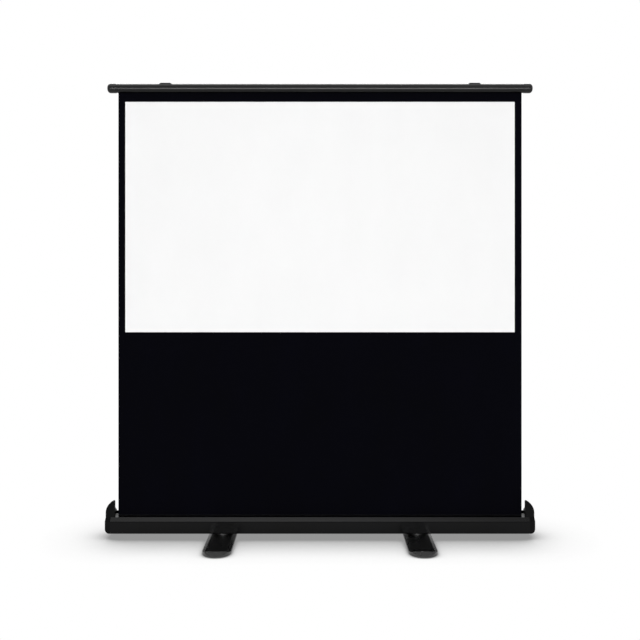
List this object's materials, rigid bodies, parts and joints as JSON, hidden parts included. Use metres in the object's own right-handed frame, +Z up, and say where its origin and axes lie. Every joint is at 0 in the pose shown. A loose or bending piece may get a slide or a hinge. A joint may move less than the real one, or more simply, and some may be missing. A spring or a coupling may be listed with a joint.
{
  "type": "pull-up projection screen",
  "caption": "Floor-standing projection screen: a white viewing surface on black cloth is pulled up out of a long case by a round bar on folding arms, and stands on swivel feet.",
  "frame": {"origin": "on the floor, under the middle of the case", "axes": "+X to the right of someone who faces the viewing surface, +Y away from them, +Z up"},
  "size_m": [1.908, 0.57, 2.04],
  "materials": {
    "case_black": "satin",
    "cap_black": "satin",
    "bar_black": "satin",
    "bar_cap_black": "gloss",
    "cloth_black": "matte",
    "screen_white": "matte",
    "steel": "satin",
    "bracket_black": "satin",
    "bracket_cast": "satin",
    "arm_black": "satin",
    "knuckle_black": "matte",
    "roller_metal": "satin",
    "nylon": "matte",
    "liner_black": "matte",
    "foot_black": "satin",
    "rubber": "matte"
  },
  "bodies": {
    "case": {"case_body": "case_black", "end_cap_left": "cap_black", "end_cap_right": "cap_black", "end_cap_screws": "steel", "slot_liner_front": "liner_black", "slot_liner_rear": "liner_black", "roller_bracket_left": "cap_black", "roller_bracket_right": "cap_black", "roller_idle_bush": "nylon", "spring_rod": "steel", "roller_spring": "steel", "base_bracket_left": "bracket_black", "base_bracket_right": "bracket_black", "base_bracket_rivets": "steel", "base_pin_left": "steel", "base_pin_right": "steel", "swivel_bolt_left": "steel", "swivel_bolt_right": "steel", "swivel_nuts": "steel", "handle_lugs": "cap_black", "handle_rivets": "steel"},
    "roller": {"roller_tube": "roller_metal", "cloth_wraps": "cloth_black", "roller_plug_left": "nylon", "roller_plug_right": "nylon", "roller_idle_pin": "steel"},
    "lower_arm_left": {"lower_arm_left_tube": "arm_black", "lower_arm_left_knuckles": "knuckle_black", "elbow_pin_left": "steel", "elbow_washer_left": "nylon"},
    "upper_arm_left": {"upper_arm_left_tube": "arm_black", "upper_arm_left_knuckles": "knuckle_black"},
    "lower_arm_right": {"lower_arm_right_tube": "arm_black", "lower_arm_right_knuckles": "knuckle_black", "elbow_pin_right": "steel", "elbow_washer_right": "nylon"},
    "upper_arm_right": {"upper_arm_right_tube": "arm_black", "upper_arm_right_knuckles": "knuckle_black"},
    "top_bar": {"top_bar_tube": "bar_black", "bar_cap_left": "bar_cap_black", "bar_cap_right": "bar_cap_black", "cloth_edge_rod": "nylon", "bar_bracket_left": "bracket_cast", "bar_bracket_right": "bracket_cast", "bar_bracket_screws": "steel", "top_pin_left": "steel", "top_pin_right": "steel", "masking_cloth": "cloth_black", "viewing_surface": "screen_white"},
    "foot_left": {"foot_left": "foot_black", "foot_left_pads": "rubber", "swivel_washer_left": "nylon"},
    "foot_right": {"foot_right": "foot_black", "foot_right_pads": "rubber", "swivel_washer_right": "nylon"},
    "carry_handle": {"carry_handle": "bracket_black", "handle_grip": "rubber"}
  },
  "joints": [
    {"name": "screen_fold", "type": "hinge", "parent": "case", "child": "lower_arm_left", "pos_m": [-0.695, 0.028, 0.056], "axis": [0, 1, 0], "range_deg": [0, 58.94], "deforming": ["masking_cloth", "viewing_surface"]},
    {"name": "left_elbow", "type": "hinge", "parent": "lower_arm_left", "child": "upper_arm_left", "pos_m": [-0.14, 0.0188, 1.025], "axis": [0, 1, 0], "range_deg": [-117.98, 0]},
    {"name": "bar_level", "type": "hinge", "parent": "upper_arm_left", "child": "top_bar", "pos_m": [-0.695, 0.0188, 1.994], "axis": [0, 1, 0], "range_deg": [0, 59.04]},
    {"name": "right_base", "type": "hinge", "parent": "case", "child": "lower_arm_right", "pos_m": [0.695, 0.0502, 0.056], "axis": [0, 1, 0], "range_deg": [-59.04, 0]},
    {"name": "right_elbow", "type": "hinge", "parent": "lower_arm_right", "child": "upper_arm_right", "pos_m": [0.14, 0.041, 1.025], "axis": [0, 1, 0], "range_deg": [0, 117.98]},
    {"name": "roller_spin", "type": "hinge", "parent": "case", "child": "roller", "pos_m": [0, -0.029, 0.059], "axis": [1, 0, 0], "range_deg": [-4940.9, 0]},
    {"name": "foot_left_swivel", "type": "hinge", "parent": "case", "child": "foot_left", "pos_m": [-0.436, 0, 0.027], "axis": [0, 0, 1], "range_deg": [0, 90]},
    {"name": "foot_right_swivel", "type": "hinge", "parent": "case", "child": "foot_right", "pos_m": [0.436, 0, 0.027], "axis": [0, 0, 1], "range_deg": [-90, 0]},
    {"name": "handle_swing", "type": "hinge", "parent": "case", "child": "carry_handle", "pos_m": [0, 0.0693, 0.078], "axis": [1, 0, 0], "range_deg": [0, 120]}
  ],
  "couplings": [
    {"joint": "left_elbow", "follows": "screen_fold", "ratio": -2},
    {"joint": "bar_level", "follows": "screen_fold", "ratio": 1},
    {"joint": "right_base", "follows": "screen_fold", "ratio": -1},
    {"joint": "right_elbow", "follows": "screen_fold", "ratio": 2},
    {"joint": "roller_spin", "follows": "screen_fold", "ratio": -83.742}
  ]
}
